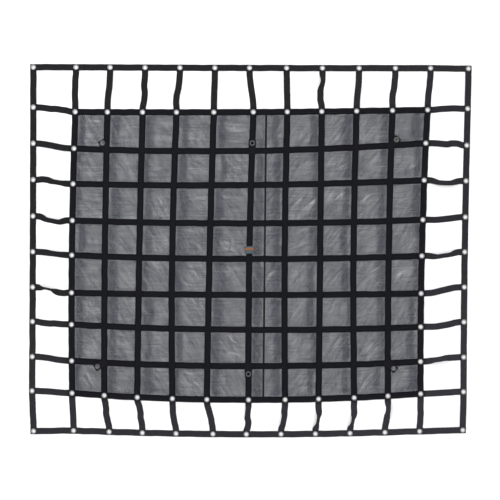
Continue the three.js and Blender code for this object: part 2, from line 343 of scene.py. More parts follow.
class Ribbon:
    """A band of cloth that follows a line of stations, with its own frame at each of them."""

    def __init__(self, places, centre, roll, half, cup=None):
        self.places = places
        self.centre = centre
        self.half = half
        self.cup = np.zeros(len(places)) if cup is None else cup
        _, flat_side, flat_up = frames_along(np.gradient(centre, places, axis=0))
        cosine, sine = np.cos(roll)[:, None], np.sin(roll)[:, None]
        self.side = flat_side * cosine + flat_up * sine
        self.up = flat_up * cosine - flat_side * sine
        self.length = length_along(centre)

    def at(self, places, across, above):
        """Points on the ribbon, from places along it, distances across and heights above its middle."""
        across = np.broadcast_to(across, np.shape(places))[..., None]
        parts = (self.centre, self.side, self.up)
        centre, side, up = (rows_at(places, self.places, rows) for rows in parts)
        return centre + side * across + up * above

    def build(self, name, thick, holes=(), limits=None):
        """The closed band. limits gives, for each station, the share of each half width that is left."""
        count, columns = len(self.places), len(ACROSS)
        lower = [0, *range(columns, 2 * columns - 2), columns - 1]
        ring = 2 * columns - 2
        across = np.tile(ACROSS, (count, 1))
        if limits is not None:
            across = np.where(across < 0, across * limits[:, :1], across * limits[:, 1:])
        across = across * self.half
        vertices = np.zeros((count, ring, 3))
        uv = np.zeros((count, ring, 2))
        cup = self.cup[:, None] * ((across / self.half) ** 2 - 0.3)
        for face, slots in ((-1, lower), (1, list(range(columns)))):
            height = face * BULGE * thick / 2 + cup
            points = (
                self.centre[:, None]
                + self.side[:, None] * across[..., None]
                + self.up[:, None] * height[..., None]
            )
            vertices[:, slots] = points
            uv[:, slots, 0] = self.length[:, None]
            uv[:, slots, 1] = across
        removed = self.punch(holes, across, vertices, lower)
        faces = self.skin(count, columns, ring, lower, removed)
        first = list(range(columns)) + lower[-2:0:-1]
        last = [(count - 1) * ring + k for k in reversed(first)]
        faces += [first, last]
        ends = (len(faces) - 2, len(faces) - 1)
        vertices, uv = vertices.reshape(-1, 3), uv.reshape(-1, 2)
        lightness = lightness_at(vertices[:, 0], vertices[:, 1])
        return new_object(name, vertices, faces, uv, {"lightness": lightness}, ends)

    def punch(self, holes, across, vertices, lower):
        """Marks the block of cells to leave out at each hole, and rounds the block's rim."""
        middle = len(ACROSS) // 2
        removed = set()
        steps = range(-HOLE_REACH, HOLE_REACH + 1)
        for hole in holes:
            station = int(np.abs(self.places - hole).argmin())
            removed |= {(station + i, middle + j) for i in steps[:-1] for j in steps[:-1]}
            for i in steps:
                for j in steps:
                    if max(abs(i), abs(j)) != HOLE_REACH:
                        continue
                    here, column = station + i, middle + j
                    offset = np.array([self.length[here] - self.length[station], across[here, column]])
                    wanted = offset * HOLE_RADIUS / np.linalg.norm(offset)
                    along = self.length[station] + wanted[0]
                    place = np.interp(along, self.length, self.places)
                    for slot in (column, lower[column]):
                        above = (vertices[here, slot] - self.centre[here]) @ self.up[here]
                        vertices[here, slot] = self.at(np.array(place), wanted[1], above)
        return removed

    def skin(self, count, columns, ring, lower, removed):
        """The band's upper and lower faces, and the walls of its holes."""
        def upper_at(corner):
            return corner[0] * ring + corner[1]

        def lower_at(corner):
            return corner[0] * ring + lower[corner[1]]

        faces = []
        for i in range(count - 1):
            for j in range(columns - 1):
                cell = [(i, j), (i + 1, j), (i + 1, j + 1), (i, j + 1)]
                if (i, j) not in removed:
                    faces.append([upper_at(corner) for corner in cell])
                    faces.append([lower_at(cell[k]) for k in (0, 3, 2, 1)])
                    continue
                for k, neighbour in enumerate([(i, j - 1), (i + 1, j), (i, j + 1), (i - 1, j)]):
                    if neighbour not in removed:
                        a, b = cell[k], cell[(k + 1) % 4]
                        faces.append([upper_at(a), upper_at(b), lower_at(b), lower_at(a)])
        return faces


# How the border straps' outer corners are cut, by the column and row that meet there: the kind of cut,
# and how much of the corner it takes.
CORNERS = {
    (0, 0): ("straight", 3 * MM),
    (LAST_COLUMN, 0): ("round", 15.5 * MM),
    (0, LAST_ROW): ("straight", 9 * MM),
    (LAST_COLUMN, LAST_ROW): ("straight", 9 * MM),
}


def corner_limit(corner, beyond):
    """The outer half width that is left at a distance beyond a corner's crossing."""
    kind, size = CORNERS[corner]
    if kind == "straight":
        return np.clip(WEB_HALF + BORDER_OVERHANG - size - beyond, 0, WEB_HALF)
    return np.sqrt(np.maximum(size ** 2 - np.maximum(beyond, 0) ** 2, 0)).clip(0, WEB_HALF)


def border_limits(kind, number, places, knots):
    """The shares of both half widths that a border strap keeps, with its outer corners cut."""
    limits = np.ones((len(places), 2))
    outer_side = int((kind == "row") == (number == 0))
    corners = [(0, number), (LAST_COLUMN, number)] if kind == "row" else [(number, LAST_ROW), (number, 0)]
    for corner, beyond in zip(corners, (knots[0] - places, places - knots[-1])):
        share = corner_limit(corner, beyond) / WEB_HALF
        limits[:, outer_side] = np.minimum(limits[:, outer_side], share)
    return limits


# How the slack strap ends lie between border and panel, by the straps' kind and the margin: low is left
# or bottom, and high is right or top. Each bend has its strap's number, its middle from 0 at the border
# to 1 at the panel, its reach both ways, its sway along +X for a column or +Y for a row in millimetres,
# and its roll in degrees. They were read off the photograph, strap by strap.
BENDS = {
    ("column", "high"): (
        (1, 0.5, 0.4, -2.6, 0), (3, 0.66, 0.26, 4.5, 0), (4, 0.7, 0.22, -3.9, 0),
        (8, 0.6, 0.3, -6.9, 0), (8, 0.34, 0.22, 2, 36), (10, 0.7, 0.22, -2.9, 0),
    ),
    ("column", "low"): (
        (2, 0.72, 0.2, 2.7, 0), (2, 0.38, 0.24, -3, 0), (3, 0.66, 0.26, 6, 0),
        (4, 0.44, 0.34, -4, 0), (5, 0.58, 0.32, 3.5, 0), (6, 0.29, 0.2, 6, 0),
        (6, 0.64, 0.24, 0, 28), (7, 0.41, 0.29, 5.4, 28), (8, 0.46, 0.36, 6.7, 0),
        (8, 0.39, 0.27, 0, 57), (9, 0.44, 0.34, 6.7, 0), (9, 0.34, 0.22, 0, 52),
        (10, 0.52, 0.38, 4, 0), (10, 0.62, 0.26, 0, -46), (11, 0.36, 0.27, 2.6, 0),
    ),
    ("row", "low"): (
        (1, 0.66, 0.26, 5, 0), (3, 0.29, 0.2, 3.5, 0), (3, 0.62, 0.26, 0, 40),
        (4, 0.51, 0.37, -11.5, 41), (5, 0.6, 0.28, 0, 32), (6, 0.72, 0.2, -4, 0),
        (6, 0.39, 0.27, 0, 67), (7, 0.34, 0.25, -3.5, 0),
    ),
    ("row", "high"): (
        (1, 0.5, 0.4, 2.9, 0), (2, 0.29, 0.2, 5.5, 0), (3, 0.5, 0.38, -9.5, -36),
        (4, 0.5, 0.4, -3.3, 0), (5, 0.5, 0.38, -7.7, 43), (7, 0.5, 0.4, -4.3, 0),
        (8, 0.57, 0.31, 3.5, -40),
    ),
}


def bends_along(kind, number, knots, places):
    """How far a strap sways, in metres, and rolls, in radians, at each place along it."""
    sway, roll = np.zeros(len(places)), np.zeros(len(places))
    for margin, border, panel in (("low", knots[0], knots[1]), ("high", knots[-1], knots[-2])):
        away = (places - border) / (panel - border)
        for strap, middle, reach, aside, turn in BENDS[kind, margin]:
            if strap == number:
                share = smoothstep(0, 0.7, 1 - np.abs(away - middle) / reach)
                sway += aside * MM * share
                roll += math.radians(turn) * share
    return sway, roll


def lay_strap(kind, number):
    """The ribbon of one strap: the frame's line, with the slack of real webbing between its crossings."""
    line = LINES[kind][number]
    axis = line.axis
    cells = [cell for cell in CELLS if cell[1 - axis] == number]
    knots = np.sort([CROSSINGS[cell][axis] for cell in cells])
    holes = [CROSSINGS[cell][axis] for cell in cells if has_grommet(*cell)]
    is_border = number in (0, len(LINES[kind]) - 1)
    overhang = BORDER_OVERHANG if is_border else STRAP_OVERHANG
    places = stations_between(knots[0] - overhang, knots[-1] + overhang, holes)

    rng = random_for(axis, number)
    nearest = np.abs(places[:, None] - knots).min(axis=1)
    slack = smoothstep(HELD, FREE, nearest)
    over_mesh = (places > knots[1]) & (places < knots[-2]) & (not is_border)
    rest = np.where(over_mesh, MESH_REST, FLOOR_REST)
    if kind == "row" and not is_border:
        seam_x = SEAM.across_at(line.across_at(SEAM_X))
        rest = rest + SEAM_LIFT * np.exp(-((places - seam_x) / SEAM_SPREAD) ** 2)
    spans = np.searchsorted(knots, places)
    arch = rng.uniform(0, 1, len(knots) + 1) ** 2.5 * (BORDER_ARCH if is_border else INNER_ARCH)
    ripple = waves(rng, 0.06, 0.3)(places)
    under = line.under_at(places)
    under = under + slack * (rest - under + arch[spans] + RIPPLE * (ripple + 1) / 2)

    wobble = WOBBLE * slack * waves(rng, 0.05, 0.22)(places)
    sway, roll = bends_along(kind, number, knots, places)
    roll = roll + TWIST * slack * waves(rng, 0.08, 0.4)(places)
    height = under + WEB_THICK / 2 + WEB_HALF * np.abs(np.sin(roll))
    centre = np.zeros((len(places), 3))
    centre[:, axis] = places
    centre[:, 1 - axis] = line.across_at(places) + sway + wobble
    centre[:, 2] = height
    cup = CUP * slack * waves(rng, 0.07, 0.3)(places)
    ribbon = Ribbon(places, centre, roll, WEB_HALF, cup)
    ribbon.knots, ribbon.holes = knots, holes
    ribbon.limits = border_limits(kind, number, places, knots) if is_border else None
    return ribbon


# ---- grommets

def lathe(profile, sides):
    """Vertices and faces of a closed profile of (radius, height) points turned about the Z axis."""
    angles = np.arange(sides) * 2 * math.pi / sides
    radius, height = profile.T
    vertices = np.stack([
        np.outer(np.cos(angles), radius),
        np.outer(np.sin(angles), radius),
        np.tile(height, (sides, 1)),
    ], axis=-1)
    count = len(profile)
    faces = []
    for i in range(sides):
        for j in range(count):
            after_i, after_j = (i + 1) % sides, (j + 1) % count
            faces.append([i * count + j, after_i * count + j, after_i * count + after_j, i * count + after_j])
    return vertices.reshape(-1, 3), faces


def grommet(name, place, height, material, body="root", nodes=()):
    """A set grommet that stands on place: a domed eyelet whose barrel is flared over a washer."""
    bore, outer, top = GROMMET_BORE / MM, GROMMET_OUTER / MM, height / MM
    # Both profiles are in millimetres, as pairs of radius and height.
    eyelet = MM * np.array([
        (outer - 0.25, top - 0.78), (outer, top - 0.5), (outer - 0.2, top - 0.22),
        (outer - 0.8, top - 0.05), (outer - 1.6, top), (outer - 2.5, top - 0.15),
        (bore + 0.5, top - 0.5), (bore + 0.12, top - 1.0), (bore, top - 1.7), (bore, 0.9),
        (bore + 0.15, 0.35), (bore + 0.5, 0.08), (bore + 1.1, 0.0), (bore + 1.7, 0.06),
        (bore + 1.7, 0.22), (bore + 1.1, 0.3), (bore + 0.7, 0.5), (bore + 0.5, 0.95),
        (bore + 0.5, top - 1.6), (bore + 0.8, top - 0.95), (bore + 1.5, top - 0.68),
        (outer - 1.6, top - 0.6), (outer - 0.7, top - 0.66),
    ])
    washer = MM * np.array([
        (bore + 0.75, 0.62), (bore + 1.2, 0.4), (bore + 1.9, 0.34), (outer - 0.7, 0.3),
        (outer - 0.15, 0.42), (outer, 0.66), (outer - 0.2, 0.92), (outer - 0.8, 1.0),
        (bore + 1.7, 1.0), (bore + 0.8, 0.95),
    ])
    vertices, faces = lathe(eyelet, ROUND_SIDES)
    more, more_faces = lathe(washer, ROUND_SIDES)
    faces = [face[::-1] for face in faces] + [[k + len(vertices) for k in face[::-1]] for face in more_faces]
    points = np.concatenate([vertices, more]) + np.array(place)
    piece = new_object(name, points, faces, np.concatenate([vertices, more])[:, :2])
    return finish_piece(piece, material, body, nodes)


# ---- mesh panels

class Creases:
    """The folds that the slack mesh keeps inside each cell of the net."""

    FOLDS = 5

    def __init__(self):
        rng = random_for(7)
        cells = (LAST_COLUMN, LAST_ROW)
        self.band_place = rng.uniform(0.17, 0.27, cells)
        self.band_height = rng.uniform(0.35, 1.0, cells) * BAND_LIFT
        self.band_sway = rng.uniform(-0.1, 0.1, cells)
        self.band_width = rng.uniform(0.06, 0.13, cells)
        self.turn = rng.uniform(32, 66, (*cells, self.FOLDS))
        self.offset = rng.uniform(-46, 46, (*cells, self.FOLDS)) * MM
        self.shift = rng.uniform(-30, 30, (*cells, self.FOLDS)) * MM
        self.height = rng.uniform(0.1, 1.0, (*cells, self.FOLDS)) ** 1.5 * FOLD_LIFT
        self.width = rng.uniform(4, 8, (*cells, self.FOLDS)) * MM
        self.swell = rng.uniform(0.2, 1.0, cells) * SWELL_LIFT

    def height_at(self, x, y):
        """The mesh's height, and how far each point is on a band or on a crest, from 0 to 1."""
        column_x = np.array([line.across_at(y) for line in COLUMNS])
        row_y = np.array([line.across_at(x) for line in ROWS])
        c = np.clip((x > column_x).sum(axis=0) - 1, 0, LAST_COLUMN - 1)
        r = np.clip((y < row_y).sum(axis=0) - 1, 0, LAST_ROW - 1)
        left, right = (np.take_along_axis(column_x, c[None] + k, 0)[0] for k in (0, 1))
        top, bottom = (np.take_along_axis(row_y, r[None] + k, 0)[0] for k in (0, 1))
        side = np.minimum(x - left, right - x)
        end = np.minimum(top - y, y - bottom)
        seam = smoothstep(4 * MM, 22 * MM, np.abs(x - SEAM.across_at(y)))
        free = smoothstep(13 * MM, 34 * MM, side) * smoothstep(13 * MM, 34 * MM, end) * seam
        shown = smoothstep(9 * MM, 22 * MM, side) * smoothstep(9 * MM, 22 * MM, end) * seam

        share = (x - left) / (right - left)
        down = (top - y) / (top - bottom)
        leftward = x < SEAM.across_at(y)
        place = self.band_place[c, r] + self.band_sway[c, r] * np.sin(math.pi * down)
        place = np.where(leftward, place, 1 - place)
        band = np.exp(-((share - place) / self.band_width[c, r]) ** 2)
        height = self.band_height[c, r] * band
        crest = np.zeros(np.shape(x))
        dx, dy = x - (left + right) / 2, y - (top + bottom) / 2
        for k in range(self.FOLDS):
            turn = np.radians(self.turn[c, r, k]) * np.where(leftward, 1, -1)
            off = dx * np.cos(turn) + dy * np.sin(turn) - self.offset[c, r, k]
            off = off + 5 * MM * np.sin((dx - dy) / (17 * MM) + self.shift[c, r, k] / (5 * MM))
            reach = dy * np.cos(turn) - dx * np.sin(turn) - self.shift[c, r, k]
            ridge = np.exp(-(off / self.width[c, r, k]) ** 2 - (reach / (30 * MM)) ** 2)
            height = height + self.height[c, r, k] * ridge
            crest = np.maximum(crest, ridge * self.height[c, r, k] / FOLD_LIFT)
        height = height + self.swell[c, r] * np.sin(math.pi * share) * np.sin(math.pi * down)
        return PANEL_LEVEL + free * height, shown * band, shown * crest


def edge_lift(x, y):
    """The mesh rises over the washers of the grommets along its edge."""
    lift = np.zeros(np.shape(x))
    for cell in CELLS:
        if on_mesh_edge(*cell):
            away = np.hypot(x - CROSSINGS[cell][0], y - CROSSINGS[cell][1])
            lift = np.maximum(lift, 1 - smoothstep(12.5 * MM, 22 * MM, away))
    return lift * WASHER_LIFT


CREASES = Creases()


def mesh_panel(side, material):
    """One mesh panel, from its edge column to the seam."""
    width, length = PANEL_FLAT[side]
    columns, rows = round(width / PANEL_STEP) + 1, round(length / PANEL_STEP) + 1
    a, b = np.meshgrid(np.linspace(0, 1, columns), np.linspace(0, 1, rows), indexing="ij")
    x, y = np.zeros(a.shape), np.zeros(a.shape)
    for _ in range(6):
        if side == "left":
            low_x, high_x = COLUMNS[1].across_at(y) + PANEL_INSET, SEAM.across_at(y) - PANEL_GAP
        else:
            low_x = SEAM.across_at(y) + PANEL_GAP
            high_x = COLUMNS[LAST_COLUMN - 1].across_at(y) - PANEL_INSET
        x = low_x + (high_x - low_x) * a
        low_y, high_y = ROWS[LAST_ROW - 1].across_at(x) + PANEL_INSET, ROWS[1].across_at(x) - PANEL_INSET
        y = low_y + (high_y - low_y) * b
    z, band, crest = CREASES.height_at(x, y)
    z = np.maximum(z, PANEL_LEVEL + edge_lift(x, y))
    slope = np.hypot(np.gradient(z, PANEL_STEP, axis=0), np.gradient(z, PANEL_STEP, axis=1))
    # Painted light and shade for the mesh's eyes: raised bands and steep slopes make them smaller as painted
    # shade, and the crests of the folds make them larger as painted highlights.
    fold_shade_and_highlight = np.clip(0.75 * band + 2.0 * slope - 1.2 * crest, -1, 1)
    vertices = np.stack([x, y, z], axis=-1).reshape(-1, 3)
    faces = grid_faces(columns, rows)[1]
    uv = np.stack([a * width, b * length], axis=-1).reshape(-1, 2)
    piece = new_object(f"mesh_cloth_{side}", vertices, faces, uv, {"fold_shade_and_highlight": fold_shade_and_highlight.ravel()})
    return finish_piece(piece, material, nodes=[f"mesh_panel_{side}"])


# ---- seam tape, label and tabs

def seam_tape(material):
    places = np.arange(SEAM.along[0] - 5 * MM, SEAM.along[-1] + 5 * MM, 4 * MM)
    centre = np.zeros((len(places), 3))
    centre[:, 0], centre[:, 1] = SEAM.across_at(places), places
    height = CREASES.height_at(centre[:, 0], places)[0]
    centre[:, 2] = height + 0.35 * MM + TAPE_THICK / 2 + 0.15 * MM * waves(random_for(9), 0.02, 0.09)(places)
    ribbon = Ribbon(places, centre, np.zeros(len(places)), TAPE_HALF)
    piece = ribbon.build("seam_binding_tape", TAPE_THICK)
    finish_piece(piece, material, nodes=["mesh_seam_tape"])
    return ribbon


def label(strap, material):
    """The woven label: a thin patch that lies over its strap and droops to the mesh at both sides.
    Gives its sewn outline and the function that lays points of it on the label's upper face."""
    low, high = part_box("label_patch")
    middle = (low + high) / 2
    columns, rows = round(LABEL_WIDTH / LABEL_STEP) + 1, round(LABEL_HEIGHT / LABEL_STEP) + 1
    a, b = np.meshgrid(np.linspace(-0.5, 0.5, columns), np.linspace(-0.5, 0.5, rows), indexing="ij")
    half_x, half_y = LABEL_WIDTH / 2 - LABEL_CORNER, LABEL_HEIGHT / 2 - LABEL_CORNER
    inset_x = np.maximum(np.abs(a) * LABEL_WIDTH - half_x, 0)
    inset_y = np.maximum(np.abs(b) * LABEL_HEIGHT - half_y, 0)
    over = np.maximum(np.hypot(inset_x, inset_y) / LABEL_CORNER, 1)
    local_x = a * LABEL_WIDTH - np.sign(a) * inset_x * (1 - 1 / over)
    local_y = b * LABEL_HEIGHT - np.sign(b) * inset_y * (1 - 1 / over)
    x = middle.x + local_x * math.cos(LABEL_TURN) - local_y * math.sin(LABEL_TURN)
    y = middle.y + local_x * math.sin(LABEL_TURN) + local_y * math.cos(LABEL_TURN)
    strap_top = strap.at(y, 0.0, WEB_THICK / 2)
    away = np.abs(x - strap_top[..., 0])
    on_strap = 1 - smoothstep(WEB_HALF - 0.5 * MM, WEB_HALF + 6 * MM, away)
    outward = np.maximum(np.abs(a), np.abs(b)) * 2
    rim = smoothstep(0.75, 1.0, outward)
    sides = 1.5 * MM + 0.5 * MM * np.sin(y / (4 * MM))
    under = sides + (strap_top[..., 2] + 0.25 * MM - sides) * on_strap + 0.15 * MM * rim
    count = columns * rows
    thick = LABEL_THICK * (1 - 0.35 * smoothstep(0.93, 1.0, outward))
    lower = np.stack([x, y, under], axis=-1).reshape(-1, 3)
    upper = np.stack([x, y, under + thick], axis=-1).reshape(-1, 3)
    number, quads = grid_faces(columns, rows)
    rim_line = np.concatenate([number[:, 0], number[-1, 1:], number[-2::-1, -1], number[0, -2:0:-1]])
    after = np.roll(rim_line, -1)
    walls = np.stack([rim_line, after, after + count, rim_line + count], axis=-1)
    faces = np.concatenate([quads[:, ::-1], quads + count, walls])
    uv = np.tile(np.stack([local_x, local_y], axis=-1).reshape(-1, 2), (2, 1))
    piece = new_object("woven_label", np.concatenate([lower, upper]), faces, uv)
    finish_piece(piece, material, nodes=["label_patch"])
    turns = ((-1, -1), (1, -1), (1, 1), (-1, 1), (-1, -1))
    outline = np.array([(along * half_x, up * half_y) for along, up in turns])

    def on_label(points):
        column = np.clip((points[:, 0] / LABEL_WIDTH + 0.5) * (columns - 1), 0, columns - 1.001)
        row = np.clip((points[:, 1] / LABEL_HEIGHT + 0.5) * (rows - 1), 0, rows - 1.001)
        i, j = column.astype(int), row.astype(int)
        grid = upper.reshape(columns, rows, 3)
        aside = (grid[i + 1, j] - grid[i, j]) * (column - i)[:, None]
        ahead = (grid[i, j + 1] - grid[i, j]) * (row - j)[:, None]
        return grid[i, j] + aside + ahead

    return outline, on_label


def tab_frames():
    """Each tab's name, body, crossing and direction, with how far along it its hinge and grommet are."""
    frames = []
    for joint in frame["joints"]:
        name = joint["child"].removeprefix("tab_")
        toward = np.array([-joint["axis"][1], joint["axis"][0]])
        toward = toward / np.linalg.norm(toward)
        hinge_at = np.array(joint["pos_m"][:2])
        offsets = (hinge_at - CROSSINGS).reshape(-1, 2)
        nearest = offsets[np.linalg.norm(offsets, axis=1).argmin()]
        hinge = float(nearest @ toward)
        crossing = hinge_at - toward * hinge
        low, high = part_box(f"tab_grommet_{name}")
        middle = np.array([low.x + high.x, low.y + high.y]) / 2
        reach = float((middle - crossing) @ toward)
        frames.append((name, joint["child"], crossing, toward, hinge, reach))
    return frames


def anchor_tab(name, crossing, toward, reach, material):
    """A tab from its sewn end over the crossing to its free end, which lies a little higher than the sewn
    end.
    """
    tab_end = reach + TAB_BEYOND
    knots = stations_between(-TAB_SEWN, tab_end, [reach])
    clear = reach - (HOLE_REACH + 2) * HOLE_STEP
    places = np.unique(np.concatenate([knots, np.arange(-15 * MM, clear, 1 * MM)]).round(5))
    level = TAB_SEWN_LEVEL + (TAB_FLAP_LEVEL - TAB_SEWN_LEVEL) * smoothstep(7 * MM, 15 * MM, places)
    level = level + 0.5 * MM * smoothstep(tab_end - 6 * MM, tab_end, places)
    centre = np.zeros((len(places), 3))
    centre[:, :2] = crossing + places[:, None] * toward
    centre[:, 2] = level + WEB_THICK / 2
    limits = np.ones((len(places), 2))
    for edge in (-TAB_SEWN, tab_end):
        into = np.abs(places - edge)
        limits = np.minimum(limits, (0.9 + 0.1 * smoothstep(0, 2.5 * MM, into))[:, None])
    ribbon = Ribbon(places, centre, np.zeros(len(places)), TAB_HALF)
    piece = ribbon.build(f"anchor_tab_cloth_{name}", WEB_THICK, [reach], limits)
    finish_piece(piece, material, None, [f"anchor_tab_{name}"])
    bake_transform(piece)
    return ribbon


# ---- sewing thread

# One stitch, as shares of its length, width and height: two ends and two rings of four points.
STITCH_POINTS = np.array([
    (-0.5, 0, -0.4),
    (-0.28, -1, 0), (-0.28, 0, -0.8), (-0.28, 1, 0), (-0.28, 0, 1),
    (0.28, -1, 0), (0.28, 0, -0.8), (0.28, 1, 0), (0.28, 0, 1),
    (0.5, 0, -0.4),
])
STITCH_FACES = np.array(
    [[0, 1 + k, 1 + (k + 1) % 4, -1] for k in range(4)]
    + [[1 + k, 5 + k, 5 + (k + 1) % 4, 1 + (k + 1) % 4] for k in range(4)]
    + [[9, 5 + (k + 1) % 4, 5 + k, -1] for k in range(4)]
)


class Thread:
    """A set of sewn lines, gathered up and made into one piece."""

    def __init__(self, name, seed):
        self.name = name
        self.rng = random_for(11, seed)
        self.middles, self.aims = [], []

    def sew(self, points):
        """Stitches along a line of points on a surface."""
        points = np.asarray(points)
        length = length_along(points)
        count = int(length[-1] / STITCH_PITCH)
        if count < 1:
            return
        places = (np.arange(count) + 0.5) * length[-1] / count + self.rng.uniform(-0.2, 0.2, count) * MM
        start = rows_at(places - STITCH_LENGTH / 2, length, points)
        end = rows_at(places + STITCH_LENGTH / 2, length, points)
        self.middles.append((start + end) / 2)
        self.aims.append(end - start)

    def build(self, material):
        middles = np.concatenate(self.middles)
        aims, sides, ups = frames_along(np.concatenate(self.aims))
        share = STITCH_POINTS
        vertices = (
            middles[:, None]
            + aims[:, None] * (share[:, 0] * STITCH_LENGTH)[None, :, None]
            + sides[:, None] * (share[:, 1] * THREAD_RADIUS)[None, :, None]
            + ups[:, None] * (share[:, 2] * THREAD_RADIUS)[None, :, None]
        )
        faces = [
            [int(k) + 10 * n for k in face if k >= 0]
            for n in range(len(middles))
            for face in STITCH_FACES
        ]
        uv = np.tile(share[:, :2] * np.array([STITCH_LENGTH, THREAD_RADIUS]), (len(middles), 1))
        piece = new_object(self.name, vertices.reshape(-1, 3), faces, uv)
        return finish_piece(piece, material)


def crossed_box(start, end, half):
    """The lines of a sewn box with a cross in it, from start to end along a band."""
    corners = [(start, -half), (end, -half), (end, half), (start, half)]
    lines = [[corners[k], corners[(k + 1) % 4]] for k in range(4)]
    return lines + [[corners[0], corners[2]], [corners[1], corners[3]]]


def sew_on(thread, ribbon, lines, place):
    """Sews straight lines given as (along, across) offsets from a place on a ribbon."""
    for (a0, b0), (a1, b1) in lines:
        share = np.linspace(0, 1, 12)
        along, across = place + a0 + (a1 - a0) * share, b0 + (b1 - b0) * share
        thread.sew(ribbon.at(along, across, WEB_THICK / 2 + THREAD_LIFT))


# ---- materials

class Shader:
    """A material whose nodes are added one at a time."""

    def __init__(self, name):
        self.material = bpy.data.materials.new(name)
        self.material.use_nodes = True
        self.tree = self.material.node_tree
        self.surface = self.tree.nodes["Principled BSDF"]

    def node(self, kind, output, inputs=(), **settings):
        made = self.tree.nodes.new(kind)
        for key, value in settings.items():
            setattr(made, key, value)
        for socket, value in dict(inputs).items():
            self.put(made.inputs[socket], value)
        return made.outputs[output]

    def put(self, socket, value):
        if isinstance(value, bpy.types.NodeSocket):
            self.tree.links.new(value, socket)
        else:
            socket.default_value = value

    def math(self, operation, *values):
        return self.node("ShaderNodeMath", 0, dict(enumerate(values)), operation=operation)

    def noise(self, vector, scale, detail=3.0, roughness=0.5):
        inputs = {"Vector": vector, "Scale": scale, "Detail": detail, "Roughness": roughness}
        return self.node("ShaderNodeTexNoise", "Fac", inputs)

    def streaks(self, vector, scale, detail, roughness):
        """Noise that is stretched by a different scale each way."""
        stretched = self.node("ShaderNodeVectorMath", 0, {0: vector, 1: scale}, operation="MULTIPLY")
        return self.noise(stretched, 1.0, detail, roughness)

    def uv(self):
        """The UV map, and its first and second number."""
        vector = self.node("ShaderNodeUVMap", 0, uv_map="UVMap")
        split = self.tree.nodes.new("ShaderNodeSeparateXYZ")
        self.put(split.inputs[0], vector)
        return vector, split.outputs[0], split.outputs[1]

    def attribute(self, name):
        return self.node("ShaderNodeAttribute", "Fac", attribute_name=name)

    def ramp(self, value, *stops):
        """A colour ramp through (position, colour) stops."""
        made = self.tree.nodes.new("ShaderNodeValToRGB")
        elements = made.color_ramp.elements
        while len(elements) < len(stops):
            elements.new(0.5)
        for element, (position, colour) in zip(elements, stops):
            element.position = position
            element.color = (*colour, 1)
        self.put(made.inputs[0], value)
        return made.outputs[0]

    def scaled(self, colour, factor):
        """A colour multiplied by a number."""
        return self.node("ShaderNodeVectorMath", 0, {0: colour, "Scale": factor}, operation="SCALE")

    def range(self, value, low, high, new_low, new_high):
        inputs = {0: value, 1: low, 2: high, 3: new_low, 4: new_high}
        return self.node("ShaderNodeMapRange", 0, inputs)

    def spread(self, noise, low, high):
        """Noise, most of which lies between 0.3 and 0.7, as a number from low to high."""
        return self.range(noise, 0.3, 0.7, low, high)

    def bump(self, height, distance):
        return self.node("ShaderNodeBump", 0, {"Height": height, "Distance": distance})

    def set(self, **inputs):
        for socket, value in inputs.items():
            self.put(self.surface.inputs[socket.replace("_", " ")], value)
        return self.material


def weave(shader, along, across, cord, pick):
    """The height of a plain weave from 0 to 1: cords along the band, and picks that pass over and under."""
    cords = shader.math("DIVIDE", across, cord)
    crown = shader.math("ABSOLUTE", shader.math("COSINE", shader.math("MULTIPLY", cords, math.pi)))
    number = shader.math("FLOOR", shader.math("ADD", cords, 0.5))
    phase = shader.math("MULTIPLY", number, math.pi)
    turns = shader.math("MULTIPLY", along, 2 * math.pi / pick)
    wave = shader.math("SINE", shader.math("ADD", turns, phase))
    return shader.math("ADD", shader.math("MULTIPLY", crown, 0.6), shader.range(wave, -1, 1, 0, 0.4))


def webbing_material(name, stops):
    """Ribbed polyester webbing, with painted shade in the grooves of its weave. stops are its colours from
    darkest to lightest.
    """
    shader = Shader(name)
    vector, along, across = shader.uv()
    height = weave(shader, along, across, 1.625 * MM, 2.6 * MM)
    patches = shader.noise(vector, 45.0, 4.0, 0.6)
    fuzz = shader.noise(vector, 900.0, 2.0, 0.7)
    # The webbing is made lighter in the margins, more so towards the right and the bottom, with random
    # patches on top.
    lightness = shader.math("ADD", shader.attribute("lightness"), shader.spread(patches, -0.14, 0.14))
    colour = shader.ramp(lightness, *stops)
    # Painted shade: the colour is darker in the grooves of the weave and lighter on its crowns, and varies
    # with a random fine tone.
    painted_weave_shade = shader.range(height, 0, 1, 0.62, 1.15)
    shade = shader.math("MULTIPLY", painted_weave_shade, shader.spread(fuzz, 0.85, 1.15))
    normal = shader.bump(shader.math("ADD", height, shader.math("MULTIPLY", fuzz, 0.25)), 0.35 * MM)
    rough = shader.spread(patches, 0.72, 0.88)
    colour = shader.scaled(colour, shade)
    return shader.set(Base_Color=colour, Roughness=rough, Normal=normal, Specular_IOR_Level=0.06)


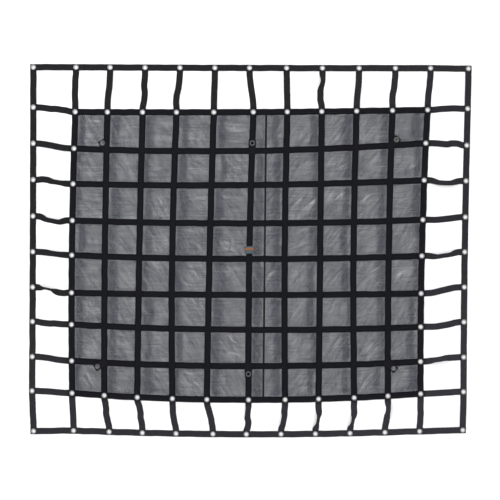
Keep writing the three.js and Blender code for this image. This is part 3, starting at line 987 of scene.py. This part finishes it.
def mesh_material(side):
    """Open knitted mesh: square eyes between dark yarns, made smaller as painted shade on raised bands and
    steep slopes and larger as painted highlights on the crests of the folds.
    Painted light and shade of fine creases runs down to the right on the left panel, and down to the left on
    the right one."""
    shader = Shader(f"mesh_fabric_open_knit_{side}")
    vector, across, along = shader.uv()
    fold_shade_and_highlight = shader.attribute("fold_shade_and_highlight")
    wide, fine, upright = (
        shader.streaks(vector, scale, 3.0, 0.6) for scale in ((7, 130, 1), (14, 420, 1), (150, 9, 1))
    )
    lean = math.radians(58 if side == "left" else -58)
    turned = shader.node("ShaderNodeVectorRotate", 0, {0: vector, "Angle": lean}, rotation_type="Z_AXIS")
    # Painted light and shade of fine creases that the geometry doesn't have: thin bright and dark diagonal
    # streaks.
    painted_wrinkle_light = shader.streaks(turned, (13, 75, 1), 2.0, 0.5)
    clouds = shader.noise(vector, 26.0, 4.0, 0.6)
    half = shader.spread(wide, 0.253, 0.323)
    for noise, change in ((fine, 0.1), (upright, 0.06), (clouds, 0.05), (painted_wrinkle_light, 0.11)):
        half = shader.math("MULTIPLY", half, shader.spread(noise, 1 - change, 1 + change))
    # Painted shade and highlights: the eyes get smaller where the vertex attribute is high and larger where
    # it is low.
    half = shader.math("MULTIPLY", half, shader.range(fold_shade_and_highlight, -1, 1, 1.25, 0.75))
    far = []
    for place in (across, along):
        share = shader.math("FRACT", shader.math("DIVIDE", place, MESH_PITCH))
        far.append(shader.math("ABSOLUTE", shader.math("SUBTRACT", share, 0.5)))
    reach = shader.math("MAXIMUM", *far)
    solid = shader.math("GREATER_THAN", reach, half)
    yarn = shader.range(reach, 0.25, 0.5, 0.0, 1.0)
    fuzz = shader.noise(vector, 1500.0, 2.0, 0.6)
    colour = shader.ramp(fuzz, (0.3, (0.018, 0.020, 0.030)), (0.7, (0.038, 0.042, 0.060)))
    normal = shader.bump(shader.math("ADD", yarn, fuzz), 0.25 * MM)
    return shader.set(
        Base_Color=colour, Alpha=solid, Normal=normal,
        Roughness=shader.spread(fuzz, 0.6, 0.8), Specular_IOR_Level=0.3,
    )


def tape_material():
    shader = Shader("seam_tape_grosgrain")
    vector, along, across = shader.uv()
    height = weave(shader, across, along, 0.9 * MM, 1.2 * MM)
    fuzz = shader.noise(vector, 700.0, 3.0, 0.6)
    colour = shader.ramp(fuzz, (0.3, (0.006, 0.006, 0.007)), (0.7, (0.014, 0.014, 0.016)))
    # Painted shade: the base colour is darker in the grooves of the weave and lighter on its crowns.
    return shader.set(
        Base_Color=shader.scaled(colour, shader.range(height, 0, 1, 0.6, 1.15)),
        Normal=shader.bump(height, 0.2 * MM),
        Roughness=shader.spread(fuzz, 0.7, 0.85), Specular_IOR_Level=0.2,
    )


def label_material():
    """A woven label: an orange band across its upper part, on a blue-grey field."""
    shader = Shader("label_cloth_damask")
    vector, x, y = shader.uv()
    height = weave(shader, x, y, 0.35 * MM, 0.5 * MM)
    fuzz = shader.noise(vector, 1200.0, 3.0, 0.6)
    edge = shader.math("ADD", y, shader.range(fuzz, 0, 1, -0.3 * MM, 0.3 * MM))
    place = shader.range(edge, -LABEL_HEIGHT / 2, LABEL_HEIGHT / 2, 0, 1)
    grey, teal = (0.045, 0.060, 0.068), (0.052, 0.088, 0.105)
    band = (0.20, 0.075, 0.028)
    stops = ((0.0, grey), (0.25, teal), (0.46, grey), (0.51, band), (0.78, band), (0.83, teal))
    colour = shader.ramp(place, *stops)
    # Painted shade: the colour is darker in the grooves of the weave and lighter on its crowns, and varies
    # with a random fine tone.
    painted_weave_shade = shader.range(height, 0, 1, 0.7, 1.12)
    shade = shader.math("MULTIPLY", painted_weave_shade, shader.spread(fuzz, 0.88, 1.12))
    return shader.set(
        Base_Color=shader.scaled(colour, shade), Normal=shader.bump(height, 0.12 * MM),
        Roughness=shader.spread(fuzz, 0.55, 0.75), Specular_IOR_Level=0.3,
    )


def thread_material():
    shader = Shader("sewing_thread")
    _, along, across = shader.uv()
    turns = shader.math("MULTIPLY", along, 2 * math.pi / (0.7 * MM))
    twist = shader.math("ADD", turns, shader.math("MULTIPLY", across, 6000.0))
    ply = shader.range(shader.math("SINE", twist), -1, 1, 0, 1)
    # Painted shade: the colour is darker in the grooves between the plies of the twist and lighter on their
    # crowns.
    colour = shader.ramp(ply, (0.0, (0.004, 0.004, 0.005)), (1.0, (0.016, 0.016, 0.019)))
    return shader.set(
        Base_Color=colour, Normal=shader.bump(ply, 0.08 * MM),
        Roughness=shader.range(ply, 0, 1, 0.7, 0.55), Specular_IOR_Level=0.15,
    )


def metal_material(name, clean, worn, low_rough, high_rough):
    """Plated metal, with worn patches and a fine grain."""
    shader = Shader(name)
    place = shader.node("ShaderNodeTexCoord", "Object")
    patches = shader.noise(place, 260.0, 4.0, 0.6)
    grain = shader.noise(place, 2600.0, 2.0, 0.5)
    colour = shader.ramp(patches, (0.35, clean), (0.75, worn))
    rough = shader.spread(patches, low_rough, high_rough)
    rough = shader.math("ADD", rough, shader.spread(grain, -0.04, 0.04))
    return shader.set(Base_Color=colour, Metallic=1.0, Roughness=rough, Normal=shader.bump(grain, 0.03 * MM))


def floor_material():
    shader = Shader("studio_floor")
    place = shader.node("ShaderNodeTexCoord", "Object")
    colour = shader.ramp(shader.noise(place, 3.0, 2.0), (0.3, (0.9, 0.9, 0.9)), (0.7, (0.93, 0.93, 0.93)))
    return shader.set(Base_Color=colour, Roughness=0.9, Specular_IOR_Level=0.1)


# ---- the assembly

WEB_STOPS = (
    (0.0, (0.0058, 0.0060, 0.0085)),
    (0.5, (0.0150, 0.0150, 0.0165)),
    (1.0, (0.0270, 0.0270, 0.0330)),
)
TAB_STOPS = ((0.0, (0.0075, 0.0075, 0.0095)), (1.0, (0.019, 0.019, 0.022)))

WEBBING = webbing_material("webbing_ribbed", WEB_STOPS)
TAB_WEBBING = webbing_material("tab_webbing_ribbed", TAB_STOPS)
MESH = {side: mesh_material(side) for side in ("left", "right")}
TAPE = tape_material()
LABEL = label_material()
THREAD = thread_material()
BRIGHT = metal_material("nickel_bright", (0.30, 0.30, 0.305), (0.20, 0.20, 0.205), 0.25, 0.4)
# The tab grommets' nickel: a darker, rougher copy of the same metal, painted shade standing in for the dark
# surroundings it reflects.
SHADED_NICKEL = metal_material("nickel_painted_shade", (0.15, 0.15, 0.155), (0.09, 0.09, 0.095), 0.35, 0.5)


def make_straps():
    ribbons = {}
    for kind, nodes in NODES.items():
        for number, node in enumerate(nodes):
            ribbon = lay_strap(kind, number)
            ribbons[kind, number] = ribbon
            piece = ribbon.build(f"{node}_webbing", WEB_THICK, ribbon.holes, ribbon.limits)
            finish_piece(piece, WEBBING, nodes=[node])
    return ribbons


def make_grommets():
    for c, r in CELLS:
        x, y = CROSSINGS[c, r]
        node = f"border_grommet_{c}_{r}"
        nodes = [node] if node in frame["nodes"] else []
        if on_border(c, r):
            grommet(f"border_eyelet_{c}_{r}", (x, y, 0), BORDER_GROMMET_HEIGHT, BRIGHT, nodes=nodes)
        elif on_mesh_edge(c, r):
            grommet(f"mesh_edge_eyelet_{c}_{r}", (x, y, 0.1 * MM), EDGE_GROMMET_HEIGHT, BRIGHT)


def make_tabs():
    ribbons = {}
    for name, body, crossing, toward, hinge, reach in tab_frames():
        ribbons[name] = anchor_tab(name, crossing, toward, reach, TAB_WEBBING)
        low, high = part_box(f"tab_grommet_{name}")
        middle = (low + high) / 2
        grommet(
            f"tab_eyelet_{name}", (middle.x, middle.y, low.z), TAB_GROMMET_HEIGHT, SHADED_NICKEL, body,
            [f"tab_grommet_{name}"],
        )
    return ribbons


def sew_crossings(ribbons):
    """A box with a cross at each inner crossing, and a line of stitches on both sides of each grommet."""
    boxes, rings = Thread("crossing_stitches", 1), Thread("grommet_stitches", 2)
    taken = [tab[2] for tab in tab_frames()]
    box = crossed_box(-CROSSING_BOX, CROSSING_BOX, CROSSING_BOX)
    beside = [[(-BESIDE_REACH, side), (BESIDE_REACH, side)] for side in (-BESIDE_EYE, BESIDE_EYE)]
    for c, r in CELLS:
        place = CROSSINGS[c, r]
        if (c, r) in CORNERS or any(np.hypot(*(place - spot)) < 10 * MM for spot in taken):
            continue
        kind, number, axis = ("row", r, 0) if r in (0, LAST_ROW) else ("column", c, 1)
        if has_grommet(c, r):
            sew_on(rings, ribbons[kind, number], beside, place[axis])
        else:
            sew_on(boxes, ribbons[kind, number], box, place[axis])
    boxes.build(THREAD)
    rings.build(THREAD)


def sew_panel_edge(ribbons):
    """Two rows of stitches along the inner half of the straps that hold the mesh."""
    thread = Thread("mesh_edge_stitches", 3)
    edges = (("row", 1, -1), ("row", LAST_ROW - 1, 1), ("column", 1, -1), ("column", LAST_COLUMN - 1, 1))
    for kind, number, inward in edges:
        ribbon = ribbons[kind, number]
        clear = 14.5 * MM if kind == "row" else 12.8 * MM  # clear of the straps and washers at each end
        for across in EDGE_LINES:
            for start, end in zip(ribbon.knots[1:-2], ribbon.knots[2:-1]):
                along = np.linspace(start + clear, end - clear, 40)
                thread.sew(ribbon.at(along, inward * across, WEB_THICK / 2 + THREAD_LIFT))
    thread.build(THREAD)


def make_soft_pieces(ribbons):
    for side, flat in PANEL_FLAT.items():
        mesh_panel(side, MESH[side])
    tape = seam_tape(TAPE)
    seam = Thread("seam_stitches", 4)
    for across in SEAM_LINES:
        along = np.linspace(tape.places[2], tape.places[-3], 600)
        seam.sew(tape.at(along, across, TAPE_THICK / 2 + 0.1 * MM))
    seam.build(THREAD)
    outline, on_label = label(ribbons["column", 6], LABEL)
    rim = Thread("label_stitches", 5)
    for start, end in zip(outline[:-1], outline[1:]):
        points = start + (end - start) * np.linspace(0, 1, 30)[:, None]
        rim.sew(on_label(points) + np.array([0, 0, 0.1 * MM]))
    rim.build(THREAD)


def sew_tabs(tabs):
    for name, ribbon in tabs.items():
        thread = Thread(f"tab_stitches_{name}", 6)
        sew_on(thread, ribbon, crossed_box(*TAB_BOX), 0.0)
        thread.build(THREAD)


def make_stage():
    half, level = 6.0, -0.2 * MM
    corners = [(-half, -half, level), (half, -half, level), (half, half, level), (-half, half, level)]
    floor = new_object("studio_floor", np.array(corners), [[0, 1, 2, 3]])
    floor.data.materials.append(floor_material())

    world = bpy.data.worlds.new("studio_world")
    bpy.context.scene.world = world
    world.use_nodes = True
    sky = world.node_tree.nodes["Background"].inputs
    sky["Color"].default_value = (1, 1, 1, 1)
    sky["Strength"].default_value = 1.35

    key = bpy.data.lights.new("soft_key", "AREA")
    key.shape = "DISK"
    key.size = 2.4
    key.energy = 30
    lamp = bpy.data.objects.new("soft_key", key)
    lamp.location = (-1.6, 1.8, 2.6)
    lamp.rotation_euler = (math.radians(-35), math.radians(-31), 0)
    bpy.context.scene.collection.objects.link(lamp)


def make_camera():
    """Straight above the net, with +Y up in the picture, far enough for a nearly flat view."""
    distance, view_width = 5.0, 2.05
    camera = bpy.data.cameras.new("camera")
    camera.sensor_width = 36
    camera.lens = camera.sensor_width * distance / view_width
    camera.clip_end = 50
    stand = bpy.data.objects.new("camera", camera)
    stand.location = (-1 * MM, 3 * MM, distance)
    bpy.context.scene.collection.objects.link(stand)
    bpy.context.scene.camera = stand


make_stage()
make_camera()
STRAPS = make_straps()
make_grommets()
TABS = make_tabs()
make_soft_pieces(STRAPS)
sew_crossings(STRAPS)
sew_panel_edge(STRAPS)
sew_tabs(TABS)

bpy.context.scene.view_settings.view_transform = "Standard"
